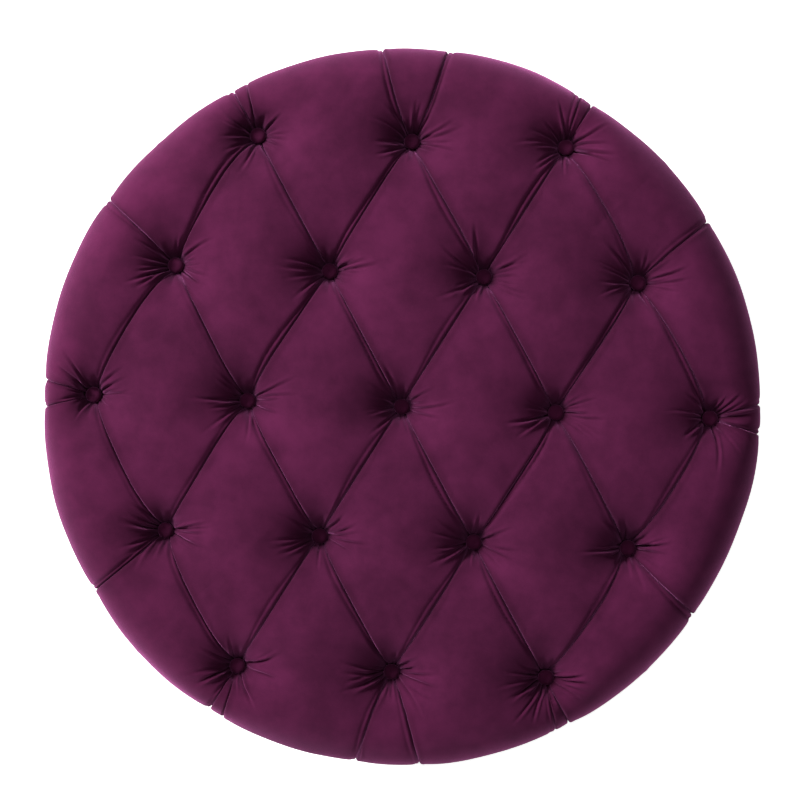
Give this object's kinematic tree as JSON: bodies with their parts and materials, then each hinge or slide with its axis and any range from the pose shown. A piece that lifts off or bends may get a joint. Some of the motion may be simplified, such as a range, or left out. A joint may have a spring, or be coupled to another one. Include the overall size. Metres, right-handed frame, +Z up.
{
  "type": "storage ottoman",
  "caption": "Round upholstered ottoman with a storage well under a hinged, deep-buttoned, diamond-tufted velvet lid, on short turned feet.",
  "frame": {"origin": "on the floor, under the middle of the ottoman", "axes": "+Z up, front towards -Y, hinge at the rear (+Y), +X to the right when seen from the front"},
  "size_m": [0.9, 0.9, 0.4397],
  "materials": {
    "velvet": "matte",
    "button_velvet": "matte",
    "foam": "matte",
    "wadding": "matte",
    "plywood": "matte",
    "pine": "matte",
    "hardboard": "matte",
    "lining_cloth": "matte",
    "mat_cloth": "matte",
    "dust_cloth": "matte",
    "twine": "matte",
    "anchor_plastic": "matte",
    "glide_plastic": "satin",
    "foot_wood": "satin",
    "bumper_rubber": "matte",
    "hinge_steel": "satin",
    "fastener_steel": "satin"
  },
  "bodies": {
    "base": {"bottom_ring": "plywood", "floor_panel": "plywood", "floor_screws": "fastener_steel", "top_ring": "plywood", "frame_screws": "fastener_steel", "drum_shell": "hardboard", "side_foam": "foam", "side_cover": "velvet", "storage_liner": "lining_cloth", "storage_mat": "mat_cloth", "dust_cover": "dust_cloth", "base_staples": "fastener_steel", "hanger_bolts": "fastener_steel", "tee_nuts": "fastener_steel", "hinge_base_screws": "fastener_steel", "frame_post_1": "pine", "frame_post_2": "pine", "frame_post_3": "pine", "frame_post_4": "pine", "frame_post_5": "pine", "frame_post_6": "pine", "frame_post_7": "pine", "frame_post_8": "pine", "foot_1": "foot_wood", "foot_2": "foot_wood", "foot_3": "foot_wood", "foot_4": "foot_wood", "foot_glide_1": "glide_plastic", "foot_glide_2": "glide_plastic", "foot_glide_3": "glide_plastic", "foot_glide_4": "glide_plastic", "lid_bumper_1": "bumper_rubber", "lid_bumper_2": "bumper_rubber", "lid_bumper_3": "bumper_rubber", "lid_bumper_4": "bumper_rubber", "hinge_base_leaf_left": "hinge_steel", "hinge_base_leaf_right": "hinge_steel", "hinge_pin_left": "hinge_steel", "hinge_pin_right": "hinge_steel"},
    "lid": {"lid_board": "plywood", "lid_foam": "foam", "lid_wadding": "wadding", "lid_cover": "velvet", "lid_lining": "lining_cloth", "lid_staples": "fastener_steel", "tuft_buttons": "button_velvet", "button_loops": "fastener_steel", "tuft_twines": "twine", "twine_anchors": "anchor_plastic", "hinge_lid_screws": "fastener_steel", "hinge_lid_leaf_left": "hinge_steel", "hinge_lid_leaf_right": "hinge_steel"}
  },
  "joints": [
    {"name": "lid_hinge", "type": "hinge", "parent": "base", "child": "lid", "pos_m": [0, 0.44, 0.2995], "axis": [-1, 0, 0], "range_deg": [0, 85]}
  ]
}
